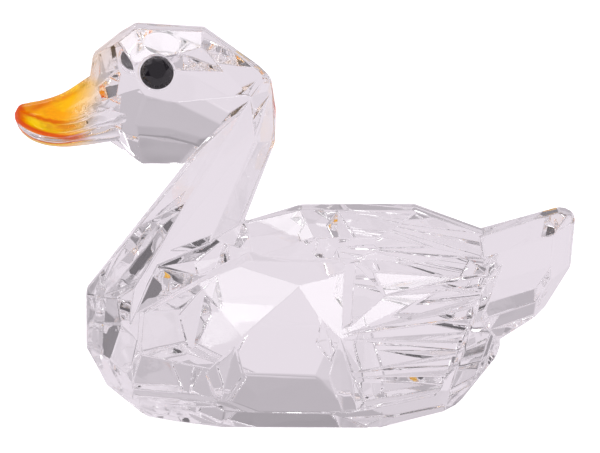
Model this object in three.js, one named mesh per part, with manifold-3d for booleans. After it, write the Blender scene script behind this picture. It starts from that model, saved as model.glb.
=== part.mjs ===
// A small clear crystal duck with an amber-stained bill and two black faceted stones for eyes.
// Units are millimetres. +Z is up, the bill points to -X and the duck's left side faces -Y.
// The origin is on the table, under the middle of the duck.
//
// The crystal is cut the way a lapidary cuts a stone: a block loses one flat slice for each facet.
// A facet is written as the way it faces and one point that lies on it:
//   turn  degrees round from the tail, 0, over the duck's side, 90, to the bill, 180
//   tilt  degrees above the horizon, negative where the facet looks down
//   point [along, out, up], out being the distance from the duck's middle plane
// Every facet off the middle plane is cut on both sides of the duck.

import * as THREE from "three";
import { ConvexGeometry } from "three/addons/geometries/ConvexGeometry.js";
import { mergeVertices } from "three/addons/utils/BufferGeometryUtils.js";
import Module from "manifold-3d";

const wasm = await Module();
wasm.setup();

const LEFT = -1;
const RIGHT = 1;
const { degToRad, lerp } = THREE.MathUtils;

// Solids

function solidOf(geometry) {
  const bare = new THREE.BufferGeometry().setAttribute("position", geometry.getAttribute("position"));
  if (geometry.index) bare.setIndex(geometry.index);
  const merged = mergeVertices(bare, 1e-4);
  const mesh = new wasm.Mesh({
    numProp: 3,
    vertProperties: merged.getAttribute("position").array,
    triVerts: new Uint32Array(merged.index.array),
  });
  return new wasm.Manifold(mesh);
}

function geometryOf(solid) {
  const mesh = solid.getMesh();
  const geometry = new THREE.BufferGeometry();
  geometry.setAttribute("position", new THREE.BufferAttribute(mesh.vertProperties, 3));
  geometry.setIndex(new THREE.BufferAttribute(mesh.triVerts, 1));
  return geometry;
}

const join = (solids) => solids.reduce((whole, piece) => whole.add(piece));
const cut = (solid, cutters) => cutters.reduce((rest, cutter) => rest.subtract(cutter), solid);
const hull = (points) => solidOf(new ConvexGeometry(points));

function mirrored(solid) {
  const geometry = geometryOf(solid);
  const corners = geometry.index.array;
  for (let i = 0; i < corners.length; i += 3) {
    [corners[i], corners[i + 1]] = [corners[i + 1], corners[i]];
  }
  return solidOf(geometry.scale(1, -1, 1));
}

// Facets

const CUTTER = 160; // side of the block that each cut takes away, wider than the duck

function facing(turn, tilt, side) {
  const t = degToRad(turn);
  const e = degToRad(tilt);
  return new THREE.Vector3(Math.cos(t) * Math.cos(e), side * Math.sin(t) * Math.cos(e), Math.sin(e));
}

const swingUpTo = (normal) => new THREE.Quaternion().setFromUnitVectors(new THREE.Vector3(0, 0, 1), normal);

function slice([turn, tilt, [along, out, up]], side) {
  const block = new THREE.BoxGeometry(CUTTER, CUTTER, CUTTER);
  block.translate(0, 0, CUTTER / 2).applyQuaternion(swingUpTo(facing(turn, tilt, side)));
  return solidOf(block.translate(along, side * out, up));
}

function gem(block, facets, sides = [LEFT, RIGHT]) {
  return cut(
    solidOf(block),
    facets.flatMap((facet) => sides.map((side) => slice(facet, side))),
  );
}

function box([x0, x1], [y0, y1], [z0, z1]) {
  const block = new THREE.BoxGeometry(x1 - x0, y1 - y0, z1 - z0);
  return block.translate((x0 + x1) / 2, (y0 + y1) / 2, (z0 + z1) / 2);
}

// Facets that two neighbouring stones share

const BREAST = -29.9; // foremost point of the breast, a narrow upright flat

const bowFacets = [
  [180, 38.7, [BREAST, 0, 17.8]],
  [144, 29.5, [-29.2, 1.8, 17.8]],
  [140, 1, [-26.9, 5.2, 13.9]],
  [126, 5, [-23.7, 8.4, 15.8]],
  [130, -4, [-24.1, 8.1, 11.2]],
  [144.5, -27.4, [-25.3, 4.5, 5.4]],
  [180, -25.4, [BREAST, 0, 9.4]],
];

const napeFacets = [
  [0, 53.7, [-13, 0, 55.5]],
  [0, 46, [-5.7, 0, 50.2]],
  [0, 9, [-3.46, 0, 48.2]],
  [0, -1, [-2.8, 0, 44]],
  [0, -21, [-2.9, 0, 39.2]],
  [57.4, 38.5, [-9.5, 3.3, 51.5]],
  [78.8, 26.3, [-16.4, 6.7, 49.1]],
  [77.3, 0.2, [-10.4, 6.7, 44]],
  [33.2, 1.5, [-4.4, 3.2, 43.9]],
  [35.5, -17.7, [-7.6, 4.2, 33.1]],
];

// Body: a boat-shaped stone with a blunt bow, a narrow flat along its back and a flat base


const body = gem(box([BREAST, 29.3], [-13.4, 13.4], [0, 29.65]), [
  ...bowFacets,
  [180, -60, [-27.1, 0, 3.5]],
  [123.1, -36.5, [-20, 8.7, 3.7]],
  [115.9, -36.2, [-13.8, 11, 2.4]],
  [91.1, -41.6, [-0.2, 12.1, 1.4]],
  [69, -29.3, [15.6, 10.7, 2.5]],
  [35.3, -13.5, [23.9, 6.5, 5.8]],
  [35.3, -15.9, [26.9, 4.2, 10.4]],
  [0, -80, [11.9, 0, 0]],
  [20, -42, [21.7, 7.8, 1.7]],
  [0, -45, [24.8, 0, 3.6]],
  [180, 74.8, [-7.1, 0, 27.5]],
  [133.6, 65.6, [-7, 1, 27.5]],
  [92, 75.5, [8.5, 6.2, 28.6]],
  [0, 70.5, [16.8, 0, 29.65]],
  [53.5, 55.5, [20.5, 5.3, 26.8]],
  [64.5, 36.5, [20.8, 8.5, 24.6]],
  [112, 53, [3.9, 10.4, 27.75]],
  [92, 40, [4.9, 11.3, 26.5]],
  [115, 14, [-15.4, 12.4, 14.5]],
  [118, -19, [-16.8, 12, 8]],
  [76, 5, [13.6, 12.2, 18]],
  [71.5, -5, [17, 11.2, 14.6]],
  [72, -14, [12.4, 12, 5.9]],
]);

// Shoulders: a low saddle at the foot of the neck

const shoulders = gem(box([-21, -1], [-12, 12], [10, 29]), [
  ...bowFacets,
  [80, 73.6, [-7, 1, 27.5]],
  [108, 54, [-11.3, 7.6, 25.1]],
  [115, 14, [-15.4, 12.4, 14.5]],
]);

// Neck: one long stone that leans back, from the breast up into the head

const neck = gem(box([BREAST, -2.8], [-10, 10], [10, 46.5]), [
  ...bowFacets,
  ...napeFacets,
  [76.8, -2.1, [-13.2, 6.9, 29.9]],
]);

// Head: a stone cut above and below a girdle at the level of the eyes

const head = gem(box([-29.6, -2.8], [-10, 10], [36.4, 56.1]), [
  ...napeFacets,
  [0, 87, [-22.3, 0, 55.85]],
  [180, 55.3, [-28.6, 0, 51.7]],
  [180, 8, [-28.6, 0, 51.7]],
  [83, 43, [-19.3, 3.7, 54.3]],
  [129.9, 7.9, [-25.6, 4.5, 50.2]],
  [92.3, -20.1, [-17.4, 7.4, 44.2]],
  [88.5, -20.3, [-18.3, 7.4, 44.2]],
  [124.2, -8.6, [-23.7, 6.2, 44.9]],
  [94.1, -34.1, [-18.2, 4.8, 39.5]],
  [122.4, -31.7, [-23.6, 4.3, 40.6]],
  [85.7, -38.2, [-13.4, 5.5, 40.1]],
  [30, -47.2, [-11.2, 6.9, 42.1]],
  [180, -55.4, [-26, 0, 39.4]],
]);

// Tail: a stubby upturned wedge

const tail = gem(box([18, 40.1], [-9, 9], [6, 30]), [
  [180, 73, [26.9, 0, 26.1]],
  [110.7, 55.4, [31.6, 3.7, 26.7]],
  [85.6, 2.8, [32.7, 6, 21.7]],
  [35.3, -1.4, [37.9, 3.6, 24]],
  [28.4, -27.9, [36.2, 3.7, 18.4]],
  [67.2, -43.4, [29.8, 5.3, 14.6]],
  [0, 74, [37.6, 0, 29.3]],
  [0, 35, [39.5, 0, 28.7]],
  [0, -5, [39.7, 0, 27]],
  [0, -31, [39.5, 0, 21.6]],
  [0, -53.7, [35.7, 0, 15.3]],
]);

// Wings: a raised panel on each flank, with facets at the shoulder and a fan of feathers behind

const panelFacets = [
  [114.9, 14.5, [-15.4, 14, 14.5]],
  [117.6, -18.7, [-16.8, 13.6, 8]],
  [107.5, 21.9, [-7.1, 15.3, 20.5]],
  [95, 52.8, [1.7, 15, 23.7]],
  [87.8, 1.9, [-1.4, 17.4, 14.3]],
  [78, 7.4, [4.3, 16.6, 19.4]],
  [89, -26.3, [-1.7, 16.1, 6.4]],
  [76.7, 7, [13.6, 14.2, 20.8]],
  [71.4, -5.6, [17, 13.2, 14.6]],
  [72.5, -13.9, [12.4, 13.6, 5.9]],
];

const rimFacets = [
  [171, 56, [-13.1, 12.9, 21.8]],
  [167, 65, [-7.4, 13.4, 24.4]],
  [95, 84, [-2.9, 13, 24.7]],
  [65.6, 61.2, [15.5, 11.9, 23.8]],
  [165, 8, [-22, 10.8, 12]],
  [115, -55, [-16.5, 12.8, 5.5]],
  [90, -75, [-1, 14.4, 3.2]],
  [60, -62, [14.6, 12.5, 4.5]],
  [-15, -22, [27.6, 10.2, 22.8]],
  [-68, 0, [24, 7.6, 15]],
];

// Distance of the panel's face from the middle plane, at a place on the duck's side.
function panelFace(along, up) {
  const reach = panelFacets.map(([turn, tilt, [x, out, z]]) => {
    const normal = facing(turn, tilt, RIGHT);
    return out + (normal.x * (x - along) + normal.z * (z - up)) / normal.y;
  });
  return Math.min(...reach);
}

// A notch with a pointed bottom. Each corner is [along, up, depth below the panel's face].
function notch(corners) {
  const CLEAR = 6;
  const points = corners.flatMap(([along, up, depth]) => {
    const out = panelFace(along, up) - depth;
    return [new THREE.Vector3(along, -out, up), new THREE.Vector3(along, -out - CLEAR, up)];
  });
  return hull(points);
}

// Each feather ends in a valley that opens from its root to the wing's rear edge:
// root, valley floor at the rear edge, and the valley's upper and lower lips there.
const featherValleys = [
  { root: [12.2, 19.9], floor: [28, 22], upper: [27.8, 22.9], lower: [27.4, 20.7], depth: 1 },
  { root: [6.4, 14.9], floor: [26.2, 17.4], upper: [26.6, 18.9], lower: [25.8, 16.1], depth: 1.2 },
  { root: [6.7, 14.2], floor: [24.3, 12.2], upper: [24.8, 13.7], lower: [23.9, 11], depth: 1.1 },
  { root: [8, 9.2], floor: [23, 10.1], upper: [23.5, 11], lower: [22.5, 8.9], depth: 1 },
  { root: [8.3, 8.5], floor: [21.6, 7.5], upper: [22.1, 8.6], lower: [21, 6.3], depth: 0.9 },
].map(({ root, floor, upper, lower, depth }) =>
  notch([[...root, 0], [...root, 0.12], [...floor, depth], [...upper, 0], [...lower, 0]]),
);

const darts = [
  [[-8.4, 13.6, 0], [-12.5, 9.4, 0], [-7.3, 9.3, 0], [-8.9, 12.4, 0.5], [-10.7, 3.6, 0.7]],
  [[3.7, 17.1, 0], [6.2, 14.5, 0], [5, 11.1, 0.4], [3, 13.9, 0], [4.5, 14.1, 0.9]],
  [[6.2, 14.6, 0], [4.7, 9.2, 0], [6.6, 3.2, 0], [7.9, 8.8, 0.7], [8.6, 2.6, 0.6], [9.6, 4.6, 0]],
  [[6.6, 15.9, 0], [7, 24.6, 0], [7.6, 16.2, 0.5], [8.3, 24.6, 1.1], [12.5, 19.9, 0], [10.2, 24.6, 0]],
].map(notch);

const wing = cut(gem(box([-23, 28], [-19, -6], [2, 27]), [...panelFacets, ...rimFacets], [LEFT]), [
  ...featherValleys,
  ...darts,
]);

// Bill: a rounded dome that flares to a wide lip over a thinner lower half

const BILL_STATIONS = [
  { along: -39.8, ridge: 43.2, crease: 43.1, lip: 42.9, mouth: 42.6, keel: 42.5, upper: 0, lower: 0 },
  { along: -39.3, ridge: 44.15, crease: 43.6, lip: 42.75, mouth: 42, keel: 41.3, upper: 1.5, lower: 1.2 },
  { along: -38, ridge: 44.65, crease: 43.5, lip: 42.3, mouth: 41.2, keel: 39.9, upper: 2.9, lower: 2.5 },
  { along: -36, ridge: 45.05, crease: 42.8, lip: 41.7, mouth: 40.5, keel: 39, upper: 4, lower: 3.5 },
  { along: -33, ridge: 46.1, crease: 42.3, lip: 41.4, mouth: 40.3, keel: 38.6, upper: 4.7, lower: 4 },
  { along: -30, ridge: 48, crease: 42.9, lip: 42, mouth: 41, keel: 38.8, upper: 5, lower: 4.2 },
  { along: -27, ridge: 50, crease: 44.2, lip: 43.1, mouth: 41.8, keel: 39.2, upper: 5.6, lower: 4.3 },
  { along: -23.5, ridge: 51, crease: 45.2, lip: 44.2, mouth: 42.4, keel: 39.8, upper: 6.1, lower: 4 },
];
const DOME_SHARE = 0.72; // half width of the dome at its crease, as a share of the lip's
const GROOVE_SHARE = 0.85; // half width at the mouth line, as a share of the lower half's

function billSection({ ridge, crease, lip, mouth, keel, upper, lower }) {
  const half = [];
  for (let i = 0; i <= 8; i++) {
    const a = (i / 8) * (Math.PI / 2);
    half.push([DOME_SHARE * upper * Math.sin(a), crease + (ridge - crease) * Math.cos(a)]);
  }
  for (let i = 1; i <= 3; i++) {
    const s = i / 3;
    half.push([upper * lerp(DOME_SHARE, 1, s), crease + (lip - crease) * (0.35 * s + 0.65 * s * s)]);
  }
  half.push([0.99 * upper, lerp(lip, mouth, 0.35)]);
  half.push([0.94 * upper, lerp(lip, mouth, 0.65)]);
  half.push([GROOVE_SHARE * lower, lerp(mouth, lip, 0.1)]);
  for (let i = 0; i <= 7; i++) {
    const a = (i / 7) * (Math.PI / 2);
    half.push([lower * Math.cos(a) ** 0.8, mouth - (mouth - keel) * (0.12 + 0.88 * Math.sin(a))]);
  }
  return half;
}

function billSolid() {
  const names = ["ridge", "crease", "lip", "mouth", "keel", "upper", "lower"];
  const curve = new THREE.CubicInterpolant(
    BILL_STATIONS.map((station) => station.along),
    BILL_STATIONS.flatMap((station) => names.map((name) => station[name])),
    names.length,
  );
  const tip = BILL_STATIONS[0].along;
  const root = BILL_STATIONS.at(-1).along;
  const COUNT = 30;
  const rings = [];
  for (let i = 1; i <= COUNT; i++) {
    const along = lerp(tip, root, 1 - Math.cos((i / COUNT) * (Math.PI / 2)));
    const values = curve.evaluate(along);
    const section = billSection(Object.fromEntries(names.map((name, k) => [name, values[k]])));
    const right = section.slice(1, -1).reverse();
    const ring = [...section.map(([y, z]) => [-y, z]), ...right];
    rings.push(ring.map(([y, z]) => [along, y, z]));
  }
  const around = rings[0].length;
  const tipIndex = COUNT * around;
  const positions = [rings, tip, 0, BILL_STATIONS[0].lip, root, 0, BILL_STATIONS.at(-1).crease].flat(3);
  const corners = [];
  for (let i = 0; i < around; i++) {
    const j = (i + 1) % around;
    corners.push(tipIndex, j, i);
    for (let k = 0; k < COUNT - 1; k++) {
      const a = k * around + i;
      const b = k * around + j;
      corners.push(a, b, a + around, b, b + around, a + around);
    }
    corners.push(tipIndex + 1, (COUNT - 1) * around + i, (COUNT - 1) * around + j);
  }
  const geometry = new THREE.BufferGeometry();
  geometry.setAttribute("position", new THREE.Float32BufferAttribute(positions, 3));
  geometry.setIndex(corners);
  return solidOf(geometry);
}

// Eyes: a flat-backed black stone, eight-sided on top, in a shallow round pocket in the eye facet

const EYE_CENTRE = [-19.34, 6.7, 50.25];
const EYE_TURN = 86;
const EYE_TILT = 24;
const EYE_RADIUS = 2.35;
const EYE_GAP = 0.3; // clearance round the stone and under its back
const EYE_SUNK = 0.45; // depth of the stone's back below the facet
const EYE_HEIGHT = 1.5;
const TABLE_RADIUS = 1.25;

function seated(solidGeometry) {
  const [along, out, up] = EYE_CENTRE;
  solidGeometry.applyQuaternion(swingUpTo(facing(EYE_TURN, EYE_TILT, LEFT)));
  return solidOf(solidGeometry.translate(along, LEFT * out, up));
}

function ringOf(count, radius, height, offset = 0) {
  return Array.from({ length: count }, (_, i) => {
    const a = ((i + offset) / count) * 2 * Math.PI;
    return new THREE.Vector3(radius * Math.cos(a), radius * Math.sin(a), height);
  });
}

const eyeStone = seated(
  new ConvexGeometry([
    ...ringOf(48, EYE_RADIUS, -EYE_SUNK),
    ...ringOf(48, EYE_RADIUS, 0.15 - EYE_SUNK),
    ...ringOf(8, 0.8 * EYE_RADIUS, 0.62 * EYE_HEIGHT - EYE_SUNK, 0.5),
    ...ringOf(8, TABLE_RADIUS, EYE_HEIGHT - EYE_SUNK),
  ]),
);

const POCKET_OPEN = 4;
const pocketBlank = new THREE.CylinderGeometry(EYE_RADIUS + EYE_GAP, EYE_RADIUS + EYE_GAP, POCKET_OPEN, 48);
pocketBlank.rotateX(Math.PI / 2).translate(0, 0, POCKET_OPEN / 2 - EYE_SUNK - EYE_GAP);
const eyePocket = seated(pocketBlank);

// The duck

const duck = new THREE.Group();
const crystal = new THREE.MeshStandardMaterial({ color: 0xf2eff4, roughness: 0.02, metalness: 0 });
const jet = new THREE.MeshStandardMaterial({ color: 0x111114, roughness: 0.08, metalness: 0 });

function add(name, solid, material) {
  const mesh = new THREE.Mesh(geometryOf(solid), material.clone());
  mesh.name = name;
  duck.add(mesh);
}

const casting = join([body, shoulders, neck, head, tail, wing, mirrored(wing), billSolid()]);
add("crystal_duck", cut(casting, [eyePocket, mirrored(eyePocket)]), crystal);
add("left_eye", eyeStone, jet);
add("right_eye", mirrored(eyeStone), jet);

export default duck;
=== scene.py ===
import bmesh
import bpy
import math
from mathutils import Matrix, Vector
from mathutils.geometry import delaunay_2d_cdt, intersect_point_line


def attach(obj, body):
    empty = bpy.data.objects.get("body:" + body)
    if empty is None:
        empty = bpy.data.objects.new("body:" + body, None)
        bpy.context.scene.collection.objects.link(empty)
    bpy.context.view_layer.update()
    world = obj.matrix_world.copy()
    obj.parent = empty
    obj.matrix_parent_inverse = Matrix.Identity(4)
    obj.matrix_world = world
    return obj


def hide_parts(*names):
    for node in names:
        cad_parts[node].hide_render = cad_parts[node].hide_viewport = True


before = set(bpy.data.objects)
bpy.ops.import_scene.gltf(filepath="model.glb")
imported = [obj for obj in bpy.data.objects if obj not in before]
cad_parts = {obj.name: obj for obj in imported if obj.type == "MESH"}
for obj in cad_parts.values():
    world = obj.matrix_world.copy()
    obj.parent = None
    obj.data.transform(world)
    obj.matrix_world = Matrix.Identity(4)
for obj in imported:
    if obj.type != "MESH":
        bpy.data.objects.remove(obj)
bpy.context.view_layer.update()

# The camera
# A long lens a little above the duck's back, square on to its left side.
# Its height and its distance are judged.

MM = 0.001
LOOK_AT = Vector((0.64, 0, 26.8)) * MM
CAMERA_HEIGHT = math.radians(12)
CAMERA_DISTANCE = 560 * MM
LENS = 235.6
SIGHT = (0.01, 20)  # the nearest and the farthest that the camera sees, in metres

away = Vector((0, -math.cos(CAMERA_HEIGHT), math.sin(CAMERA_HEIGHT)))
camera = bpy.data.objects.new("camera", bpy.data.cameras.new("camera"))
camera.data.lens = LENS
camera.data.clip_start, camera.data.clip_end = SIGHT
camera.location = LOOK_AT + away * CAMERA_DISTANCE
camera.rotation_euler = (-away).to_track_quat("-Z", "Y").to_euler()
bpy.context.scene.collection.objects.link(camera)
bpy.context.scene.camera = camera

# The crystal
# One clear casting, cut in flat facets and polished, with a rounded bill.
# The bill is stained amber, redder at its tip and along the mouth, and clear at the face, and its
# stained coat gives off a painted glow.

BILL_FACE = 1.2 * MM * MM  # the bill is a net of faces smaller than this, and facets are larger
BILL_ROOT = -23 * MM
EDGE_ROUND = 0.28 * MM
EDGE_SHARE = 0.35  # of a short edge or a narrow facet, the most that the rounding takes
SEAM = 0.002 * MM  # corners closer than this are one corner
SLIVER = 0.01 * MM  # edges shorter than this are closed up
FLAT = math.radians(0.5)  # faces that turn by less than this are one facet
SHARPEST = 0.05  # keeps the corner of a very sharp facet from running off
MOST_CORNERS = 99  # no point of the casting has this many facets


def of_bill(face):
    """Whether a face belongs to the smooth bill."""
    return face.calc_area() < BILL_FACE and face.calc_center_median().x < BILL_ROOT


def tidy_facets(bm):
    """Joins the triangles of each flat facet."""
    bmesh.ops.dissolve_degenerate(bm, edges=bm.edges, dist=SLIVER)
    bmesh.ops.dissolve_limit(bm, angle_limit=FLAT, verts=bm.verts, edges=bm.edges)


def room_round(corner):
    """How far it is from a face's corner to the nearest of the face's other edges."""
    here, nearest = corner.vert.co, math.inf
    for edge in corner.face.edges:
        start, end = (vert.co for vert in edge.verts)
        if corner.vert not in edge.verts:
            point, share = intersect_point_line(here, start, end)
            nearest = min(nearest, (start.lerp(end, min(1, max(0, share))) - here).length)
    return nearest


def drawn_in(corner, share):
    """Where a facet's corner goes when the facet's edges are rounded off."""
    face, here = corner.face, corner.vert.co
    into = corner.link_loop_prev.vert.co - here
    out = corner.link_loop_next.vert.co - here
    left = face.normal.cross(out).normalized()
    right = into.cross(face.normal).normalized()
    shift = (left + right) * (EDGE_ROUND / max(SHARPEST, 1 + left.dot(right)))
    most = EDGE_SHARE * min(into.length, out.length, room_round(corner))
    return here + shift * share * min(1, most / max(shift.length, 1e-9))


def around(vert):
    """The corners that meet at a point, in their order round it."""
    first = vert.link_loops[0]
    ring, corner = [first], first.link_loop_prev.link_loop_radial_next
    while corner is not first and len(ring) < MOST_CORNERS:
        ring.append(corner)
        corner = corner.link_loop_prev.link_loop_radial_next
    return ring


def single_rings(ring):
    """The rings that a ring falls into where it passes through one point twice."""
    ring = [s for i, s in enumerate(ring) if s != ring[i - 1]]
    for i, s in enumerate(ring):
        if s in ring[i + 1 :]:
            j = ring.index(s, i + 1)
            return single_rings(ring[i:j]) + single_rings(ring[j:] + ring[:i])
    return [ring] if len(ring) > 2 else []


def triangles_of(ring, points, normal):
    """A flat ring's triangles, or nothing where the ring crosses itself."""
    if len(ring) < 4:
        return [ring]
    right = normal.orthogonal().normalized()
    up = normal.cross(right)
    flat = [Vector((points[i].dot(right), points[i].dot(up))) / MM for i in ring]
    made = delaunay_2d_cdt(flat, [], [list(range(len(ring)))], 1, 1e-6)
    if len(made[0]) != len(ring):
        return []
    return [[ring[made[3][i][0]] for i in face] for face in made[2]]


def cast_crystal(node):
    """The casting's mesh: whole facets, edges rounded by the polishing, and a smooth bill."""
    bm = bmesh.new()
    bm.from_mesh(node.data)
    bmesh.ops.remove_doubles(bm, verts=bm.verts, dist=SEAM)
    tidy_facets(bm)
    bm.normal_update()
    points, normals, faces = [], [], []
    spot = {}
    bill_spot = {}
    for face in filter(of_bill, bm.faces):
        for corner in face.loops:
            if corner.vert not in bill_spot:
                bill_spot[corner.vert] = len(points)
                points.append(corner.vert.co.copy())
                normals.append(Vector())
            spot[corner] = bill_spot[corner.vert]
            normals[spot[corner]] += face.normal * face.calc_area()
        faces.append([spot[corner] for corner in face.loops])
    for face in bm.faces:
        if of_bill(face):
            continue
        ring = list(range(len(points), len(points) + len(face.loops)))
        spot.update(zip(face.loops, ring))
        for share in (1, 0.5, 0.25, 0):
            drawn = points + [drawn_in(corner, share) for corner in face.loops]
            triangles = triangles_of(ring, drawn, face.normal)
            if triangles:
                break
        points = drawn
        normals += [face.normal.copy()] * len(ring)
        faces += triangles or [ring]
    for edge in bm.edges:
        a, b = edge.link_loops
        strip = [spot[a.link_loop_next], spot[a], spot[b.link_loop_next], spot[b]]
        faces += single_rings(strip)
    for vert in bm.verts:
        faces += single_rings([spot[corner] for corner in around(vert)])
    bm.free()
    mesh = bpy.data.meshes.new("crystal")
    mesh.from_pydata(points, [], faces)
    mesh.polygons.foreach_set("use_smooth", [True] * len(faces))
    mesh.normals_split_custom_set_from_vertices([n.normalized() for n in normals])
    return mesh


class Wire:
    """A node's output in a shader. Arithmetic on it adds Math nodes."""

    def __init__(self, tree, socket=None):
        self.tree = tree
        self.socket = socket

    def make(self, kind, settings=None, inputs=None, output=0):
        """Adds a node of this type: its settings first, then its sockets' values or links."""
        node = self.tree.nodes.new(kind)
        for name, value in (settings or {}).items():
            setattr(node, name, value)
        for name, value in (inputs or {}).items():
            if isinstance(value, Wire):
                self.tree.links.new(value.socket, node.inputs[name])
            else:
                node.inputs[name].default_value = value
        return Wire(self.tree, node.outputs[output] if len(node.outputs) else None)

    def sum(self, operation, *terms):
        return self.make("ShaderNodeMath", {"operation": operation}, dict(enumerate(terms)))

    def __add__(self, other):
        return self.sum("ADD", self, other)

    def __radd__(self, other):
        return self.sum("ADD", other, self)

    def __sub__(self, other):
        return self.sum("SUBTRACT", self, other)

    def __rsub__(self, other):
        return self.sum("SUBTRACT", other, self)

    def __mul__(self, other):
        return self.sum("MULTIPLY", self, other)

    def __rmul__(self, other):
        return self.sum("MULTIPLY", other, self)

    def __abs__(self):
        return self.sum("ABSOLUTE", self)

    def rise(self, start, end):
        """0 before start and 1 after end, turning smoothly between them."""
        return self.make(
            "ShaderNodeMapRange",
            {"interpolation_type": "SMOOTHSTEP"},
            {"Value": self, "From Min": start, "From Max": end},
        )

    def rise_mm(self, start, end):
        """The same for a length, between two sizes in mm."""
        return self.rise(start * MM, end * MM)

    def tint(self, low, high):
        """The colour low where this wire is 0, and high where it is 1."""
        low, high = (c if isinstance(c, Wire) else (*c, 1) for c in (low, high))
        return self.make("ShaderNodeMix", {"data_type": "RGBA"}, {0: self, 6: low, 7: high}, 2)


def new_finish(name):
    """An empty material, with a wire to start its nodes from."""
    material = bpy.data.materials.new(name)
    material.use_nodes = True
    material.node_tree.nodes.clear()
    return material, Wire(material.node_tree)


def place(wire):
    """The point on the object: along, out and up in metres, and the point itself."""
    point = wire.make("ShaderNodeTexCoord", output=3)
    parts = [wire.make("ShaderNodeSeparateXYZ", inputs={0: point}, output=i) for i in range(3)]
    return parts, point


CLEAR = (0.99, 0.985, 0.99)
AMBER = (1, 0.55, 0.0)
RED_ORANGE = (0.6, 0.05, 0.0)
GLASS_BEND = 1.5
COAT = (0.36, 0.3)  # the stain's share of the surface, and what the deepest stain adds to it
# the painted glow: light in the stain's own colour that the coat gives off, though it is no lamp
COAT_PAINTED_GLOW = 0.6
COAT_POLISH = 0.1
WAVE_DEPTH = 0.03 * MM
SPECK_HAZE = 0.5
MOUTH_LOW = (-31, 40.25)  # along and up, in mm, where the mouth line is lowest
MOUTH_BEND = 27  # how much the mouth line rises to each side, per metre
MOUTH_EDGE = (-0.35, 0.05)  # over the mouth line, in mm, where the stain sets in
STAIN_END = (-32.5, -26.8)  # along, in mm, from where the stain fades to where it is gone
BROW = (47.6, 49.2)  # up, in mm, where it thins out under the brow
TIP_END = (-39.6, -37)  # along, in mm, where the red of the tip gives way to amber
LIP = (0.25, 0.2, 0.8)  # over the mouth line: the red lip's middle, and where it fades each way
CREASE = (2.1, 0.1, 0.55)  # the same for the thin red crease above the lip
CREASE_END = (-34, -31)
POOL = (45, 0.2, 1.0)  # up, in mm: the red pool's middle, and where it fades each way
POOL_SLOPE = 0.36
POOL_MIDDLE = -35.6
POOL_FRONT = (-38.5, -36)
POOL_REAR = (-34.5, -29.5)
POOL_SIDE = (0.7, 2.2)  # out from the ridge, in mm, where the pool deepens


def bill_stain(wire, along, out, up, point):
    """How much stain the bill has at each point, and how deep and red it is there."""
    grain = wire.make(
        "ShaderNodeTexNoise", inputs={"Vector": point, "Scale": 1400.0, "Detail": 2.0}
    )
    cloud = wire.make(
        "ShaderNodeTexNoise", inputs={"Vector": point, "Scale": 260.0, "Detail": 2.0}
    )
    drift = 1.5 * MM * (cloud - 0.5)
    from_low = along - MOUTH_LOW[0] * MM
    over_mouth = up - MOUTH_LOW[1] * MM - from_low * from_low * MOUTH_BEND
    back = along - 0.45 * (up - 44 * MM) + drift
    stain = (1 - back.rise_mm(*STAIN_END)) * over_mouth.rise_mm(*MOUTH_EDGE)
    stain = stain * (1 - 0.75 * up.rise_mm(*BROW))
    tip = 1 - (along + drift).rise_mm(*TIP_END)
    lip = 1 - abs(over_mouth - LIP[0] * MM).rise_mm(*LIP[1:])
    crease = 1 - abs(over_mouth - CREASE[0] * MM + 0.5 * MM * (grain - 0.5)).rise_mm(*CREASE[1:])
    crease = crease * (1 - along.rise_mm(*CREASE_END))
    over_pool = up - POOL[0] * MM - POOL_SLOPE * (along - POOL_MIDDLE * MM) + 0.7 * drift
    ragged = along + 2 * drift
    pool = 1 - abs(over_pool).rise_mm(*POOL[1:])
    pool = pool * ragged.rise_mm(*POOL_FRONT) * (1 - ragged.rise_mm(*POOL_REAR))
    pool = pool * (0.2 + 0.8 * abs(out).rise_mm(*POOL_SIDE))
    deep = 1 - (1 - tip) * (1 - 0.95 * lip) * (1 - 0.75 * crease) * (1 - pool)
    return stain, deep


def specks(wire, point):
    """Tiny dull specks: the middles of a few cells, picked by luck."""
    cells = {"Vector": point, "Scale": 240.0}
    spot = wire.make("ShaderNodeTexVoronoi", inputs=cells)
    cell = wire.make("ShaderNodeTexVoronoi", inputs=cells, output=2)
    luck = wire.make("ShaderNodeTexWhiteNoise", inputs={0: cell})
    return (1 - spot.rise(0.03, 0.06)) * luck.rise(0.7, 0.75)


def crystal_finish():
    """Clear glass, with the stain both in it and as a thin coat on the bill. The coat also gives
    off a painted glow in the stain's colour, though it is no lamp.
    """
    material, wire = new_finish("clear crystal")
    (along, out, up), point = place(wire)
    stain, deep = bill_stain(wire, along, out, up, point)
    dye = deep.tint(AMBER, RED_ORANGE)
    wave = wire.make("ShaderNodeTexNoise", inputs={"Vector": point, "Scale": 220.0, "Detail": 1.0})
    wavy = wire.make(
        "ShaderNodeBump", inputs={"Strength": 1.0, "Distance": WAVE_DEPTH, "Height": wave}
    )
    glass = wire.make(
        "ShaderNodeBsdfPrincipled",
        inputs={
            "Base Color": stain.tint(CLEAR, dye),
            "Roughness": SPECK_HAZE * specks(wire, point),
            "IOR": GLASS_BEND,
            "Transmission Weight": 1.0,
            "Normal": wavy,
        },
    )
    # the stained coat, with a painted glow: it gives off light in the stain's colour, though it is
    # no lamp
    coat_with_painted_glow = wire.make(
        "ShaderNodeBsdfPrincipled",
        inputs={
            "Base Color": dye,
            "Roughness": COAT_POLISH,
            "Specular IOR Level": 0.0,
            "Emission Color": dye,
            "Emission Strength": COAT_PAINTED_GLOW,
        },
    )
    share = (COAT[0] + COAT[1] * deep) * stain
    surface = wire.make("ShaderNodeMixShader", inputs={0: share, 1: glass, 2: coat_with_painted_glow})
    wire.make("ShaderNodeOutputMaterial", inputs={"Surface": surface})
    return material


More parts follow.
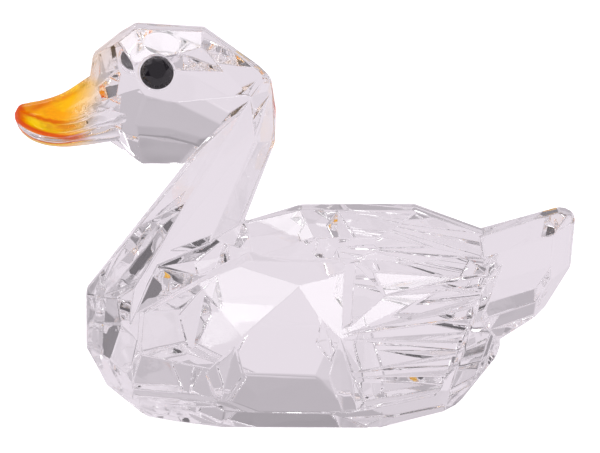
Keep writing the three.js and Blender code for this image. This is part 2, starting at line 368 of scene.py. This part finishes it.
crystal = bpy.data.objects.new("crystal", cast_crystal(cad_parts["crystal_duck"]))
crystal.data.materials.append(crystal_finish())
bpy.context.scene.collection.objects.link(crystal)
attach(crystal, "root")
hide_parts("crystal_duck")

# The eyes
# Round black stones with flat backs and eight-sided tops, glued in their pockets.

JET = (0.012, 0.01, 0.014)
JET_BEND = 1.55
JET_POLISH = (0.03, 0.08)  # the polish at its best, and what a smear adds


def jet_finish():
    """Polished black, with faint smears."""
    material, wire = new_finish("jet")
    smear = wire.make("ShaderNodeTexNoise", inputs={"Scale": 900.0, "Detail": 3.0})
    stone = wire.make(
        "ShaderNodeBsdfPrincipled",
        inputs={
            "Base Color": (*JET, 1),
            "Roughness": JET_POLISH[0] + JET_POLISH[1] * smear,
            "IOR": JET_BEND,
        },
    )
    wire.make("ShaderNodeOutputMaterial", inputs={"Surface": stone})
    return material


jet = jet_finish()
for side in ("left", "right"):
    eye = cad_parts[side + "_eye"]
    eye.data.materials.clear()
    eye.data.materials.append(jet)

# The floor and the light
# A plain pale table in a pale studio, with four lamps, pale walls and dark gaps between them.
# The duck was cut out from its picture, so the camera itself sees plain white around it, and only
# the crystal sees the lavender-grey table and room.

WHITE = (1, 1, 1)
LAVENDER = (1.055, 0.975, 1.055)
TABLE = 0.77
PAPER = 0.9
PAPER_GLOW = 0.8
FLOOR_DROP = 0.05 * MM
FLOOR_SIDE = 4.0


def shine(level):
    """What a surface of the studio gives off: lavender grey, or white where it is a lamp."""
    return tuple(level * part for part in (LAVENDER if level < 1 else WHITE))


def floor_finish():
    """White paper to the camera, and a plain lavender-grey table to the crystal."""
    material, wire = new_finish("plain table")
    seen = wire.make("ShaderNodeLightPath")
    table, paper = (
        wire.make(
            "ShaderNodeBsdfPrincipled",
            inputs={
                "Base Color": (*base, 1),
                "Roughness": 0.9,
                "Specular IOR Level": 0.0,
                "Emission Color": (*glow, 1),
                "Emission Strength": 1.0,
            },
        )
        for base, glow in (((0, 0, 0), shine(TABLE)), ((PAPER,) * 3, (PAPER_GLOW,) * 3))
    )
    surface = wire.make("ShaderNodeMixShader", inputs={0: seen, 1: table, 2: paper})
    wire.make("ShaderNodeOutputMaterial", inputs={"Surface": surface})
    return material


half = FLOOR_SIDE / 2
floor_corners = [(-half, -half), (half, -half), (half, half), (-half, half)]
floor_mesh = bpy.data.meshes.new("floor")
floor_mesh.from_pydata([(x, y, -FLOOR_DROP) for x, y in floor_corners], [], [(0, 1, 2, 3)])
floor_mesh.materials.append(floor_finish())
floor = bpy.data.objects.new("floor", floor_mesh)
bpy.context.scene.collection.objects.link(floor)

HORIZON = 0.67
BACKDROP = 0.46
CEILING = 0.42
BACKDROP_RISE = (0.02, 0.3)  # the height, 1 being straight up, where the horizon gives way to it
CEILING_RISE = (0.3, 0.5)
BOUNCES = 32
# each part of the studio: degrees round from the backdrop by way of the tail, degrees up,
# the angle that it reaches out to and the angle that it fades over, and how bright it is
STUDIO = (
    (30, 8, 14, 16, 0.52),
    (90, 4, 22, 12, 0.7),
    (84, 38, 13, 8, 0.2),
    (310, 20, 20, 16, 0.72),
    (0, 32, 6, 5, 0.3),
    (46, 30, 9, 6, 0.08),
    (150, 8, 35, 20, 0.5),
    (125, 30, 8, 5, 0.1),
    (235, 8, 22, 12, 0.08),
    (0, 90, 14, 14, 0.6),
    (152, 76, 4.5, 2, 5.5),
    (218, 29.5, 5, 3, 3.5),
    (338, 42, 3.5, 1.5, 2.5),
    (155, 2, 6, 3, 5.0),
)


def light_studio():
    """The room round the table, as the crystal sees it. The camera sees plain white."""
    world = bpy.data.worlds.new("studio")
    world.use_nodes = True
    world.node_tree.nodes.clear()
    wire = Wire(world.node_tree)
    point = wire.make("ShaderNodeTexCoord")
    high = wire.make("ShaderNodeSeparateXYZ", inputs={0: point}, output=2)
    sky = high.rise(*BACKDROP_RISE).tint(shine(HORIZON), shine(BACKDROP))
    sky = high.rise(*CEILING_RISE).tint(sky, shine(CEILING))
    for turn, rise, reach, fade, level in STUDIO:
        turn, rise = math.radians(turn), math.radians(rise)
        level_out = math.cos(rise)
        toward = (math.sin(turn) * level_out, math.cos(turn) * level_out, math.sin(rise))
        near = wire.make(
            "ShaderNodeVectorMath", {"operation": "DOT_PRODUCT"}, {0: point, 1: toward}, 1
        )
        inner, outer = (math.cos(math.radians(part)) for part in (reach, reach + fade))
        sky = near.rise(outer, inner).tint(sky, shine(level))
    seen = wire.make("ShaderNodeLightPath")
    glow = wire.make("ShaderNodeBackground", inputs={"Color": seen.tint(sky, WHITE)})
    wire.make("ShaderNodeOutputWorld", inputs={"Surface": glow})
    return world


bpy.context.scene.world = light_studio()
bpy.context.scene.view_settings.view_transform = "Standard"
cycles = bpy.context.scene.cycles
cycles.max_bounces = BOUNCES
cycles.transmission_bounces = BOUNCES
cycles.glossy_bounces = BOUNCES
